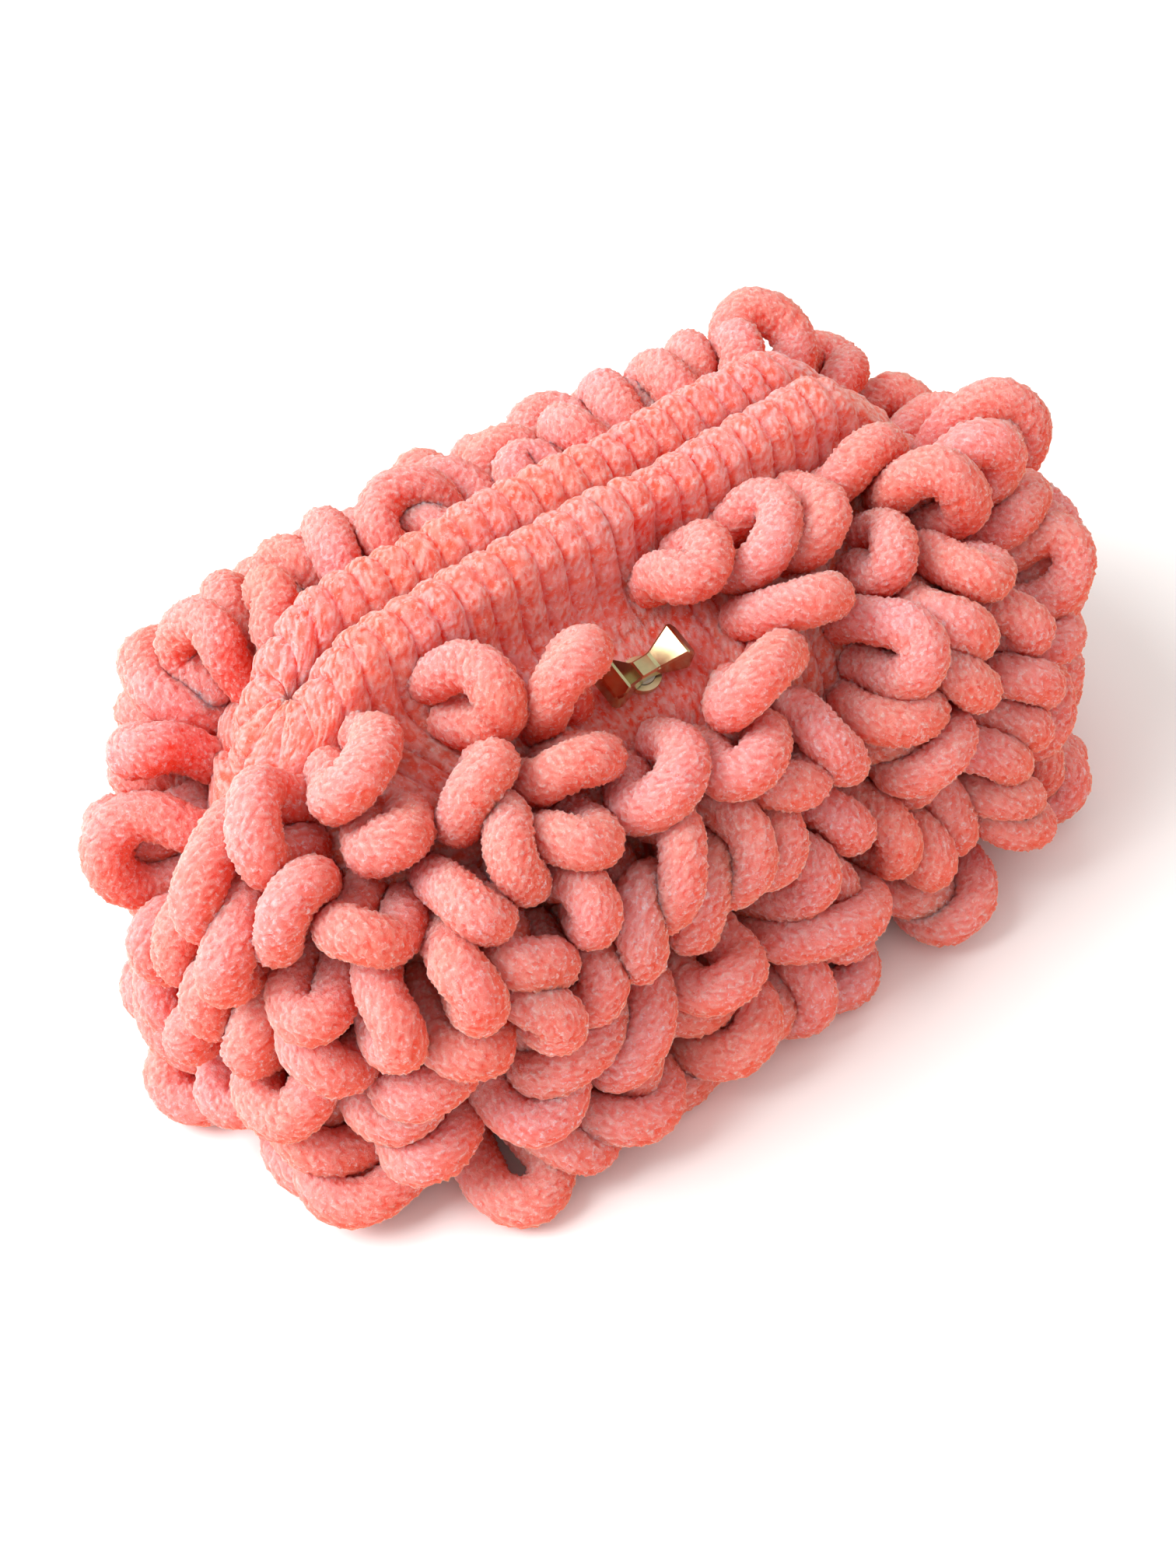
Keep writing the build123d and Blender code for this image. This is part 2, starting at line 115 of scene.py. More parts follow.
# Knit shell from the middle of the underside, up outside, over the rim and down
# inside: height, half length, half depth, centre.
SHELL_LEVELS = [
    (BASE_Z, 46.0, 1.5, 0.0),
    (BASE_Z, WALL_HALF - 12, WALL_DEPTH - 10, 0.0),
    (BASE_Z + 2, WALL_HALF - 6, WALL_DEPTH - 4, 0.0),
    (30.0, WALL_HALF, WALL_DEPTH, 0.0),
    (55.0, WALL_HALF, WALL_DEPTH - 1, 0.0),
    (SHOULDER_Z - 2, WALL_HALF - 3.2, SHOULDER_DEPTH + 1.5, 1.2),
    (SHOULDER_Z + 2, WALL_HALF - 5, SHOULDER_DEPTH - 4.5, 2.4),
    (BAND_FOOT - 0.5, BAND_HALF, BAND_DEPTH + 4.0, 4.0),
    (BAND_FOOT + 4, BAND_HALF - 0.6, BAND_DEPTH - 0.5, MOUTH_Y),
    (RIM_Z - 8, BAND_HALF - 2.0, BAND_DEPTH - 2.4, MOUTH_Y),
    (RIM_Z - 4.2, BAND_HALF - 3.2, BAND_DEPTH - 3.4, MOUTH_Y),
    (RIM_Z - 1.4, BAND_HALF - 7.5, BAND_DEPTH - 8.0, MOUTH_Y),
    (RIM_Z - 4.2, BAND_HALF - 12.0, BAND_DEPTH - 13.0, MOUTH_Y),
    (RIM_Z - 9, BAND_HALF - 12.5, BAND_DEPTH - 14.2, MOUTH_Y),
    (BAND_FOOT + 4, BAND_HALF - 11, BAND_DEPTH - 12.5, MOUTH_Y),
    (BAND_FOOT - 6, BAND_HALF - 8, BAND_DEPTH - 5, MOUTH_Y),
    (60.0, WALL_HALF - 12, WALL_DEPTH - 16, 2.0),
    (50.0, WALL_HALF - 8, WALL_DEPTH - 9, 0.0),
    (30.0, WALL_HALF - 8, WALL_DEPTH - 8, 0.0),
    (BASE_TOP + 4, WALL_HALF - 13, WALL_DEPTH - 11, 0.0),
    (BASE_TOP, WALL_HALF - 18, WALL_DEPTH - 16, 0.0),
    (BASE_TOP, 46.0, 1.5, 0.0),
]

# The front's knit within this distance of the middle is one piece; farther out, its part below
# LOW_FOLD joins the back's piece and the rest is cut into left and right pieces.
HINGE_IN = 40.0

# Rows of loops, from the floor up: height they leave the knit at, how many, length
# of yarn, and how far they lean up.
LOOP_ROWS = [
    (12.0, 29, 73.0, -0.15),
    (22.5, 32, 66.0, -0.1),
    (33.5, 34, 58.0, 0.0),
    (44.5, 35, 52.0, 0.15),
    (55.0, 35, 51.0, 0.3),
    (65.0, 33, 49.0, 0.6),
    (72.5, 28, 45.0, 1.2),
    (81.0, 25, 40.0, 0.7),
]
LENGTH_SPREAD = 9.0       # how far a loop's length may differ from its row's
# Loops round the knob, chosen one by one: place along the mouth, height, where the
# tip points, in which direction the loop is widest, length of yarn.
CHOSEN_LOOPS = [
    (-25.0, 73.0, (0.1, -0.25, 1.0), (1.0, 0.0, 0.25), 56.0),
    (9.0, 68.0, (-0.45, -0.75, 0.9), (-0.4, -0.6, 0.7), 58.0),
    (8.0, 81.0, (-0.1, -0.8, 0.7), (0.7, -0.2, 0.5), 46.0),
    (-3.0, 62.0, (-0.1, -1.0, 0.55), (1.0, 0.0, 0.1), 50.0),
    (-16.0, 65.0, (-0.3, -1.0, 0.5), (0.9, 0.3, 0.4), 50.0),
    (20.0, 80.0, (0.3, -0.7, 0.8), (0.7, 0.5, 0.6), 54.0),
    (19.0, 72.0, (0.2, -0.7, 0.7), (0.9, 0.1, -0.4), 50.0),
]
RIM_DROP = 19.0           # how far the rim falls towards each end of the mouth
RIM_LEVEL = 50.0          # distance from the middle where the rim starts to fall
FLARE = 8.0               # how far the lowest loops may stand out past the rows above
SEED = 7


# ---- numbers and noise -----------------------------------------------------
def smooth(low, high, value):
    """Smooth step from 0 at low to 1 at high."""
    share = np.clip((value - low) / (high - low), 0.0, 1.0)
    return share * share * (3 - 2 * share)


def hashed(cells, salt):
    """A repeatable number from 0 to 1 for each whole-number cell."""
    wide = cells.astype(np.int64)
    mixed = wide[..., 0] * 73856093 ^ wide[..., 1] * 19349663 ^ wide[..., 2] * 83492791
    mixed = (mixed ^ (salt * 2654435761)) & 0xFFFFFFFF
    mixed = ((mixed ^ (mixed >> 15)) * 2246822519) & 0xFFFFFFFF
    mixed = ((mixed ^ (mixed >> 13)) * 3266489917) & 0xFFFFFFFF
    return (mixed ^ (mixed >> 16)) / 4294967295.0


def tufts(points, size):
    """Height from 0 to 1 of rounded tufts scattered `size` apart."""
    heights = np.empty(len(points))
    chunk = 60000
    offsets = np.array([(x, y, z) for x in (-1, 0, 1) for y in (-1, 0, 1) for z in (-1, 0, 1)])
    for start in range(0, len(points), chunk):
        part = points[start:start + chunk] / size
        cell = np.floor(part)
        nearest = np.full(len(part), 9.0)
        for offset in offsets:
            other = cell + offset
            seed = np.stack([hashed(other, salt) for salt in (1, 2, 3)], axis=-1)
            away = ((other + seed - part) ** 2).sum(axis=1)
            nearest = np.minimum(nearest, away)
        heights[start:start + chunk] = np.clip(1.05 - 1.1 * np.sqrt(nearest), 0, 1)
    return heights


def waves(points, size, salt):
    """Soft noise from 0 to 1 whose blobs are about `size` across."""
    scaled = points / size
    cell = np.floor(scaled)
    part = scaled - cell
    part = part * part * (3 - 2 * part)
    total = np.zeros(len(points))
    for corner in [(x, y, z) for x in (0, 1) for y in (0, 1) for z in (0, 1)]:
        weight = np.ones(len(points))
        for axis in range(3):
            weight *= part[:, axis] if corner[axis] else 1 - part[:, axis]
        total += weight * hashed(cell + np.array(corner), salt)
    return total


# ---- meshes ----------------------------------------------------------------
def make_mesh(name, points, quads, material, shades=None):
    """A smooth mesh object from points in millimetres and four-cornered faces."""
    mesh = bpy.data.meshes.new(name)
    mesh.vertices.add(len(points))
    mesh.vertices.foreach_set("co", (np.asarray(points) * MM).astype(np.float32).ravel())
    mesh.loops.add(4 * len(quads))
    mesh.loops.foreach_set("vertex_index", np.asarray(quads, dtype=np.int32).ravel())
    mesh.polygons.add(len(quads))
    mesh.polygons.foreach_set("loop_start", np.arange(0, 4 * len(quads), 4, dtype=np.int32))
    mesh.update(calc_edges=True)
    mesh.shade_smooth()
    for shade_name, values in (shades or {}).items():
        attribute = mesh.attributes.new(shade_name, "FLOAT", "POINT")
        attribute.data.foreach_set("value", np.asarray(values, dtype=np.float32))
    mesh.materials.append(material)
    piece = bpy.data.objects.new(name, mesh)
    bpy.context.scene.collection.objects.link(piece)
    return piece


def keep_used(points, quads, *values):
    """Drops the points that no face uses."""
    used, places = np.unique(quads, return_inverse=True)
    return (points[used], places.reshape(quads.shape), *[value[used] for value in values])


def grid_normals(grid):
    """Unit normals of a grid of points whose first direction closes on itself."""
    along = np.roll(grid, -1, axis=0) - np.roll(grid, 1, axis=0)
    across = np.gradient(grid, axis=1)
    normals = np.cross(along, across)
    return normals / np.maximum(np.linalg.norm(normals, axis=-1, keepdims=True), 1e-9)


# ---- the knit shell --------------------------------------------------------
def outline(around, half_length, half_depth, centre):
    """Points of a rounded outline: 0 is the right end, 0.25 the back, 0.75 the front."""
    around = np.mod(around, 1.0)
    back = around < 0.5
    half = np.where(back, around, 1 - around)
    right = half < 0.25
    share = np.where(right, half * 4, (0.5 - half) * 4)
    straight = half_length - half_depth
    angle = np.clip(share / ARC_SHARE, 0, 1) * math.pi / 2
    run = np.clip((share - ARC_SHARE) / (1 - ARC_SHARE), 0, 1)
    x = np.where(share < ARC_SHARE, straight + half_depth * np.cos(angle), straight * (1 - run))
    y = half_depth * np.sin(angle)
    return np.where(right, x, -x), centre + np.where(back, y, -y)


def refine_levels(levels, fine, coarse):
    """The levels as a smooth curve; steps are fine round the mouth and coarse elsewhere."""
    levels = np.array(levels, dtype=float)
    count = len(levels)
    padded = np.vstack([2 * levels[0] - levels[1], levels, 2 * levels[-1] - levels[-2]])
    result = []
    for index in range(count - 1):
        before, start, end, after = padded[index:index + 4]
        length = np.linalg.norm((end - start)[[0, 2]])
        high = max(start[0], end[0]) > SHOULDER_Z - 3
        near_mouth = high and min(start[2], end[2]) < SHOULDER_DEPTH + 3
        steps = max(2, int(length / (fine if near_mouth else coarse)))
        tangent = 0.5 * (end - before)
        leaving = 0.5 * (after - start)
        for t in np.arange(steps) / steps:
            result.append((2 * t**3 - 3 * t**2 + 1) * start + (t**3 - 2 * t**2 + t) * tangent
                          + (3 * t**2 - 2 * t**3) * end + (t**3 - t**2) * leaving)
    result.append(levels[-1])
    return np.array(result)


def lock_frame():
    """Origin, outward direction of the lock's axis, in millimetres."""
    origin = np.array(LOCK["pos_m"]) / MM
    direction = np.array(LOCK["axis"], dtype=float)
    return origin, direction / np.linalg.norm(direction)


def beside_lock(points):
    """Distance of each point from the lock's axis, and its height over the shoulder."""
    origin, direction = lock_frame()
    away = points - origin
    height = away @ direction
    return np.linalg.norm(away - height[..., None] * direction, axis=-1), height


def shell_grid():
    """Points of the ribbed shell, as a grid round and along it."""
    levels = refine_levels(SHELL_LEVELS, FINE_STEP, COARSE_STEP)
    around = np.arange(RIBS * POINTS_PER_RIB) / (RIBS * POINTS_PER_RIB)
    grid = np.empty((len(around), len(levels), 3))
    for index, (z, half_length, half_depth, centre) in enumerate(levels):
        x, y = outline(around, half_length, half_depth, centre)
        fall = RIM_DROP * smooth(RIM_LEVEL, BAND_HALF - 2, np.abs(x))
        share = max(0.0, (z - SHOULDER_Z) / (RIM_Z - SHOULDER_Z))
        grid[:, index] = np.stack([x, y, z - fall * share], axis=-1)
    return around, grid


def rib_relief(around, grid):
    """Height of the ribs and their stitches over the shell."""
    steps = np.linalg.norm(np.diff(grid, axis=1), axis=-1)
    travelled = np.concatenate([np.zeros((len(around), 1)), np.cumsum(steps, axis=1)], axis=1)
    turn = around[:, None] * RIBS
    across = 2 * (turn - np.floor(turn)) - 1
    rib = np.sqrt(np.clip(1 - 0.96 * across**2, 0, 1))
    parity = np.floor(turn) * 0.37
    along = 2 * np.mod(travelled / STITCH + parity, 1.0) - 1
    stitch = np.sqrt(np.clip(1 - 0.85 * along**2, 0, 1))
    return RIB_HEIGHT * (rib - 0.8) + 1.0 * rib * (stitch - 0.75)


def build_shell():
    """The displaced shell: points, the painted shade of its creases, and its pile's heights, which
    also set its painted highlights.
    """
    around, grid = shell_grid()
    normals = grid_normals(grid)
    relief = rib_relief(around, grid)
    flat = grid.reshape(-1, 3)
    slow = (waves(flat, 14.0, 11) - 0.5).reshape(relief.shape) * BUMPY
    from_axis, height = beside_lock(grid)
    at_lock = (1 - smooth(LOCK_FLAT, LOCK_FADE, from_axis)) * (np.abs(height) < 6)
    relief = relief + slow
    relief = relief * (1 - 0.8 * at_lock) - LOCK_SINK * at_lock
    dent_x = (grid[..., 0] - DIMPLE_X) / DIMPLE_SIZE
    dent_z = (grid[..., 2] - DIMPLE_Z) / DIMPLE_SIZE
    dimple = np.exp(-dent_x**2 - dent_z**2)
    relief -= DIMPLE_DEPTH * dimple * (grid[..., 1] < MOUTH_Y - 6)
    pushed = grid + normals * relief[..., None]
    pile_and_painted_light = tufts(pushed.reshape(-1, 3), TUFT).reshape(relief.shape)
    pushed += normals * ((pile_and_painted_light - 0.5) * PILE * (1 - 0.6 * at_lock))[..., None]
    # Painted shade: 0 deep in the creases between the ribs, 1 on their crests; the colour is darker
    # and redder towards 0.
    depth = smooth(-1.6, 0.6, relief)
    return around, grid, pushed, depth, pile_and_painted_light


def shell_pieces(material):
    """Cuts the shell into pieces: the base, the back, the lips and the front's parts."""
    around, plain, points, crease_shade, pile_and_painted_light = build_shell()
    rings, length = points.shape[:2]
    place = np.arange(rings)[:, None] * length + np.arange(length - 1)[None, :]
    beside = np.roll(np.arange(rings), -1)[:, None] * length + np.arange(length - 1)[None, :]
    quads = np.stack([place, beside, beside + 1, place + 1], axis=-1)
    middle_z = (plain[:, :-1, 2] + plain[:, 1:, 2]) / 2
    turn = np.broadcast_to(((around + 0.5 / rings) % 1.0)[:, None], middle_z.shape)
    x = plain[:, :-1, 0]
    front = turn > 0.5
    lip = middle_z > BAND_FOOT
    inner_middle = np.abs(x) < HINGE_IN
    low = middle_z < BASE_TOP
    high = middle_z > HIGH_FOLD
    folding = middle_z > LOW_FOLD
    left = x < 0
    wall = front & ~lip & ~low
    masks = {
        "knit_base": low & ~lip,
        "lip_back": lip & ~front,
        "lip_front_left": lip & front & (turn < 0.75),
        "lip_front_right": lip & front & (turn >= 0.75),
        "knit_back": ~lip & ~low & (~front | (~inner_middle & ~folding)),
        "knit_front": wall & inner_middle,
        "knit_front_left_mid": wall & ~inner_middle & folding & ~high & left,
        "knit_front_right_mid": wall & ~inner_middle & folding & ~high & ~left,
        "knit_front_left_top": wall & ~inner_middle & high & left,
        "knit_front_right_top": wall & ~inner_middle & high & ~left,
    }
    flat_points = points.reshape(-1, 3)
    pieces = {}
    for name, mask in masks.items():
        shades = (crease_shade.ravel(), pile_and_painted_light.ravel())
        cut, faces, crease_shade_part, pile_and_painted_light_part = keep_used(flat_points, quads[mask], *shades)
        values = {"crease_shade": crease_shade_part, "pile_and_painted_light": pile_and_painted_light_part, "tint": np.full(len(cut), 0.5)}
        pieces[name] = make_mesh(name, cut, faces, material, values)
    return pieces


# ---- loops of yarn ---------------------------------------------------------
RADIUS = YARN / 2
POINTS = 13               # particles along a loop
STEPS = 160               # steps that the loops settle in
QUICK_STEPS = 60          # the same in a quick build
SAG = 0.02                # how far free particles fall in a step
REACH_SHARE = 0.43        # a loop's first reach, as a share of its length
WIDTH_SHARE = 0.12        # its first half width, as a share of its length
FOOT_SPREAD = 3.6         # half the distance between a loop's two ends
FOOT_DEPTH = 1.5          # how deep they are in the knit
OWN_GAP = YARN * 0.86     # least distance of two parts of the same loop
OTHER_GAP = YARN * 0.93   # least distance of two loops
FLOOR_GAP = RADIUS + 0.9  # least height of a loop's middle line
KNOB_ROOM = RADIUS + 11.2     # distance of loops from the axis that the knob turns about
LIT_SIDE = (-0.45, 0.1, 0.88)  # side of the loops painted paler: painted light from the key light's side
NEAR_CHOSEN = 7.0         # no random loop stands this near a chosen one
BARE_LEFT = 19.0          # bare patch above the knob, to the left of the lock's axis
BARE_RIGHT = 9.0          # and to the right
BARE_FRONT = -36.0        # and how far it goes down the front
END_SPLIT = 62.0          # distance from the middle where the ends' loops start
END_SLANT = 0.62          # how much further out they start away from the middle line
MIDDLE_Y = 3.0            # line between the front's and the back's loops


def wall_at(z):
    """Half length, half depth and centre of the shell's outside at each height."""
    outside = np.array(SHELL_LEVELS[2:11])
    return [np.interp(z, outside[:, 0], outside[:, column]) for column in (1, 2, 3)]


def wall_distance(points):
    """How far points are outside the shell, and the direction away from it."""
    half_length, half_depth, centre = wall_at(points[..., 2])
    straight = half_length - half_depth
    over = np.clip(np.abs(points[..., 0]) - straight, 0, None) * np.sign(points[..., 0])
    side = points[..., 1] - centre
    reach = np.maximum(np.hypot(over, side), 1e-6)
    away = np.stack([over / reach, side / reach, np.zeros_like(over)], axis=-1)
    height = points[..., 2]
    past_ledge = smooth(BAND_FOOT + 1, BAND_FOOT + 6, height)
    ledge = smooth(SHOULDER_Z - 4, SHOULDER_Z + 1, height) * (1 - past_ledge)
    rise = 0.92 * ledge
    direction = away * np.sqrt(1 - rise**2)[..., None]
    direction[..., 2] += rise
    return (reach - half_depth) * (1 - 0.6 * ledge), direction


def row_anchors(rng):
    """Where the loops leave the knit: row, share of the row, height, plane and length."""
    anchors = []
    for row, (level, count, yarn_length, _) in enumerate(LOOP_ROWS):
        start = rng.uniform(0, 1)
        for index in range(count):
            share = (index + start + rng.uniform(-0.25, 0.25)) / count
            height = level + rng.uniform(-2.2, 2.2)
            plane = rng.uniform(0, math.pi)
            length = yarn_length + rng.uniform(-LENGTH_SPREAD, LENGTH_SPREAD)
            anchors.append((row, share % 1.0, height, plane, length))
    return anchors


def even_share(level, share):
    """Turns an even share of a row's length into a place round the shell."""
    around = np.linspace(0, 1, 721)
    half_length, half_depth, centre = [float(value) for value in wall_at(level)]
    x, y = outline(around, half_length + 9, half_depth + 9, centre)
    steps = np.hypot(np.diff(x), np.diff(y))
    travelled = np.concatenate([[0], np.cumsum(steps)])
    return float(np.interp(share * travelled[-1], travelled, around))


def anchor_frame(around, z):
    """Point on the shell, outward direction and the direction along it."""
    half_length, half_depth, centre = [float(value) for value in wall_at(z)]
    spots = []
    for step in (0.0, 0.002):
        x, y = outline(np.array([around + step]), half_length, half_depth, centre)
        spots.append(np.array([x[0], y[0], z]))
    along = spots[1] - spots[0]
    along /= np.linalg.norm(along)
    outward = np.cross(along, [0, 0, 1.0])
    return spots[0], outward, along


def random_directions(row, outward, along, plane, rng):
    """Where a loop's tip points and in which direction the loop is widest."""
    up = np.array([0, 0, 1.0])
    lift = LOOP_ROWS[row][3]
    aim = outward + up * (lift + rng.uniform(-0.45, 0.45)) + along * rng.uniform(-0.55, 0.55)
    return aim, math.cos(plane) * along + math.sin(plane) * up


def start_loop(spot, aim, side, length):
    """First shape of a loop: a slim ring standing out from its anchor."""
    aim = aim / np.linalg.norm(aim)
    side = side - aim * (side @ aim)
    side /= np.linalg.norm(side)
    share = np.linspace(0, 1, POINTS)
    angle = 2 * math.pi * share
    reach = length * REACH_SHARE
    width = length * WIDTH_SHARE
    spread = width * np.sin(angle) + FOOT_SPREAD * (1 - 2 * share)
    out = reach * (1 - np.cos(angle)) / 2 - FOOT_DEPTH
    return spot + out[:, None] * aim + spread[:, None] * side


def left_bare(row, x, y):
    """True where no loop of the rows stands: round the knob and at the mouth's ends."""
    if row < 5:
        return False
    origin, _ = lock_frame()
    beside = x - origin[0]
    above_knob = -BARE_LEFT < beside < BARE_RIGHT and BARE_FRONT < y < MOUTH_Y
    near_chosen = y < 0 and any(abs(x - loop[0]) < NEAR_CHOSEN for loop in CHOSEN_LOOPS)
    end_width = 15 if row >= 6 else 9
    mouth_end = abs(x) > BAND_HALF - 12 and abs(y - MOUTH_Y) < end_width
    return above_knob or near_chosen or mouth_end


def all_loops():
    """First shapes of all loops, with their rows and lengths."""
    rng = np.random.default_rng(SEED)
    shapes, rows, lengths = [], [], []
    for row, share, z, plane, length in row_anchors(rng):
        around = even_share(LOOP_ROWS[row][0], share)
        spot, outward, along = anchor_frame(around, z)
        aim, side = random_directions(row, outward, along, plane, rng)
        if left_bare(row, spot[0], spot[1]):
            continue
        shapes.append(start_loop(spot, aim, side, length))
        rows.append(row)
        lengths.append(length)
    for x, z, aim, side, length in CHOSEN_LOOPS:
        _, half_depth, centre = [float(value) for value in wall_at(z)]
        spot = np.array([x, centre - half_depth, z])
        shapes.append(start_loop(spot, np.array(aim), np.array(side), length))
        rows.append(int(np.argmin([abs(level - z) for level, *_ in LOOP_ROWS])))
        lengths.append(length)
    return np.array(shapes), np.array(rows), np.array(lengths)


def near_pairs(points, owner, order, cutoff):
    """Index pairs of particles nearer than the cutoff that may press on each other."""
    squares = (points**2).sum(axis=1)
    gap = squares[:, None] + squares[None, :] - 2 * points @ points.T
    first, second = np.nonzero(np.triu(gap < cutoff**2, k=1))
    keep = (owner[first] != owner[second]) | (np.abs(order[first] - order[second]) > 4)
    return first[keep], second[keep]


def keep_lengths(chain, rest):
    """Keeps the yarn's length, and keeps it from bending too sharply."""
    for reach, stiff, least in ((1, 1.0, 1.0), (2, 0.5, 1.80), (3, 0.35, 2.35)):
        link = chain[:, reach:] - chain[:, :-reach]
        size = np.maximum(np.linalg.norm(link, axis=-1), 1e-6)
        wanted = rest * least
        error = size - wanted
        if reach > 1:
            error = np.minimum(error, 0)
        shift = (0.5 * stiff * 0.8 * error / size)[..., None] * link
        move = np.zeros_like(chain)
        move[:, :-reach] += shift
        move[:, reach:] -= shift
        chain = chain + move / (1 if reach > 1 else 1.3)
    return chain


def push_apart(points, owner, first, second):
    """Pushes pairs of particles apart where the yarn presses on itself."""
    link = points[second] - points[first]
    size = np.maximum(np.linalg.norm(link, axis=1), 1e-6)
    same = owner[first] == owner[second]
    short = np.clip(np.where(same, OWN_GAP, OTHER_GAP) - size, 0, None)
    shift = (0.42 * short / size)[:, None] * link
    for axis in range(3):
        points[:, axis] += np.bincount(second, shift[:, axis], len(points)).astype(np.float32)
        points[:, axis] -= np.bincount(first, shift[:, axis], len(points)).astype(np.float32)
    return points


def settle(shapes, lengths, steps):
    """Lets the loops sag, bend and press against each other, the knit and the floor."""
    loops = len(shapes)
    points = shapes.reshape(-1, 3).astype(np.float32).copy()
    owner = np.repeat(np.arange(loops), POINTS)
    order = np.tile(np.arange(POINTS), loops)
    fixed = (order == 0) | (order == POINTS - 1)
    rest = (lengths / (POINTS - 1))[:, None]
    home = points[fixed].copy()
    for step in range(steps):
        if step % 8 == 0:
            first, second = near_pairs(points, owner, order, 14.0)
        points[:, 2] -= np.where(fixed, 0, SAG)
        points = keep_lengths(points.reshape(loops, POINTS, 3), rest).reshape(-1, 3)
        points = push_apart(points, owner, first, second)
        distance, direction = wall_distance(points)
        inside = np.clip(RADIUS * 0.9 - distance, 0, None)
        points += (inside[:, None] * direction).astype(np.float32) * 0.8
        points[:, 2] = np.maximum(points[:, 2], FLOOR_GAP)
        points = clear_knob(points)
        points = keep_in_box(points)
        points[fixed] = home
    return points.reshape(loops, POINTS, 3)


def clear_knob(points):
    """Pushes particles out of the room that the knob turns in."""
    origin, direction = lock_frame()
    away = points - origin
    height = away @ direction
    flat = away - height[:, None] * direction
    size = np.maximum(np.linalg.norm(flat, axis=1), 1e-6)
    near = (size < KNOB_ROOM) & (height > -4) & (height < 8 + RADIUS)
    push = np.where(near, KNOB_ROOM - size, 0)
    return (points + (push / size)[:, None] * flat).astype(np.float32)


def keep_in_box(points):
    """Keeps the loops inside an outline; it is wider near the floor, where they splay."""
    flare = FLARE * (1 - smooth(12, 50, points[:, 2]))
    half_length = max(ROW_HALF) + 3.0 + flare
    half_depth = max(ROW_DEPTH) + 3.0 + flare
    straight = half_length - half_depth
    over = np.clip(np.abs(points[:, 0]) - straight, 0, None) * np.sign(points[:, 0])
    reach = np.maximum(np.hypot(over, points[:, 1]), 1e-6)
    back = np.clip(reach - (half_depth - RADIUS), 0, None) / reach
    points[:, 0] -= (back * over).astype(np.float32)
    points[:, 1] -= (back * points[:, 1]).astype(np.float32)
    points[:, 2] = np.minimum(points[:, 2], RIM_Z - 2 - RADIUS)
    return points


def smooth_paths(loops, samples):
    """Loops as smooth curves with many points, from the settled particles."""
    count = loops.shape[1]
    soft = loops.copy()
    for _ in range(2):
        soft[:, 1:-1] = 0.5 * soft[:, 1:-1] + 0.25 * (soft[:, :-2] + soft[:, 2:])
    places = np.linspace(0, count - 1.0001, samples)
    index = places.astype(int)
    t = (places - index)[None, :, None]
    before_first = 2 * soft[:, :1] - soft[:, 1:2]
    after_last = 2 * soft[:, -1:] - soft[:, -2:-1]
    padded = np.concatenate([before_first, soft, after_last], axis=1)
    before, start, end, after = [padded[:, index + shift] for shift in range(4)]
    return 0.5 * (2 * start + (end - before) * t + (2 * before - 5 * start + 4 * end - after) * t**2
                  + (3 * start - before - 3 * end + after) * t**3)


def tube_rings(paths, ring):
    """Rings of points round each path, and their outward directions."""
    tangents = np.gradient(paths, axis=1)
    tangents /= np.maximum(np.linalg.norm(tangents, axis=-1, keepdims=True), 1e-9)
    helper = np.tile([0.31, 0.17, 0.93], (len(paths), 1))
    sides = np.empty_like(paths)
    for index in range(paths.shape[1]):
        tangent = tangents[:, index]
        helper = helper - (helper * tangent).sum(axis=1, keepdims=True) * tangent
        helper /= np.maximum(np.linalg.norm(helper, axis=1, keepdims=True), 1e-9)
        sides[:, index] = helper
    others = np.cross(tangents, sides)
    angle = 2 * math.pi * np.arange(ring) / ring
    out = (np.cos(angle)[None, None, :, None] * sides[:, :, None]
           + np.sin(angle)[None, None, :, None] * others[:, :, None])
    return out


def loop_meshes(loops, quick):
    """Points of every loop's tube, and at each of them a paleness from its pile and from painted
    light on the side that faces the key light.
    """
    samples, ring = (40, 18) if quick else (96, 50)
    paths = smooth_paths(loops, samples)
    out = tube_rings(paths, ring)
    share = np.linspace(0, 1, samples)
    rng = np.random.default_rng(SEED + 1)
    plump = 1 + rng.uniform(-0.05, 0.06, (len(loops), 1))
    swell = 0.94 + 0.08 * np.sin(math.pi * share)[None, :] ** 2
    ends = np.minimum(1, 40 * np.minimum(share, 1 - share) + 0.02)[None, :]
    radius = RADIUS * plump * swell * ends
    points = paths[:, :, None] + out * radius[..., None, None]
    flat = points.reshape(-1, 3)
    lumps = (waves(flat, 6.0, 5) - 0.5) * 0.7
    pile_and_painted_light = tufts(flat, TUFT)
    fine = ends[0][None, :, None] * np.ones(points.shape[:3])
    # Painted light: the side of each tube that faces the key light is paler.
    upper = 0.5 + 0.5 * out @ np.array(LIT_SIDE)
    relief = (lumps + (pile_and_painted_light - 0.5) * 2 * PILE) * fine.ravel()
    flat = flat + out.reshape(-1, 3) * relief[:, None]
    pile_and_lit_side = 0.35 * pile_and_painted_light.reshape(points.shape[:3]) + 0.65 * upper
    return flat.reshape(points.shape), pile_and_lit_side


def tube_faces(samples, ring):
    """Faces of one tube."""
    step = np.arange(samples - 1)[:, None] * ring + np.arange(ring)[None, :]
    beside = np.arange(samples - 1)[:, None] * ring + np.roll(np.arange(ring), -1)[None, :]
    return np.stack([step, beside, beside + ring, step + ring], axis=-1).reshape(-1, 4)


def side_of(spot):
    """Which of the four sides of the pouch a loop belongs to."""
    split = END_SPLIT + END_SLANT * abs(spot[1] - MIDDLE_Y)
    if abs(spot[0]) > split:
        return "right_end" if spot[0] > 0 else "left_end"
    return "front" if spot[1] < MIDDLE_Y else "back"


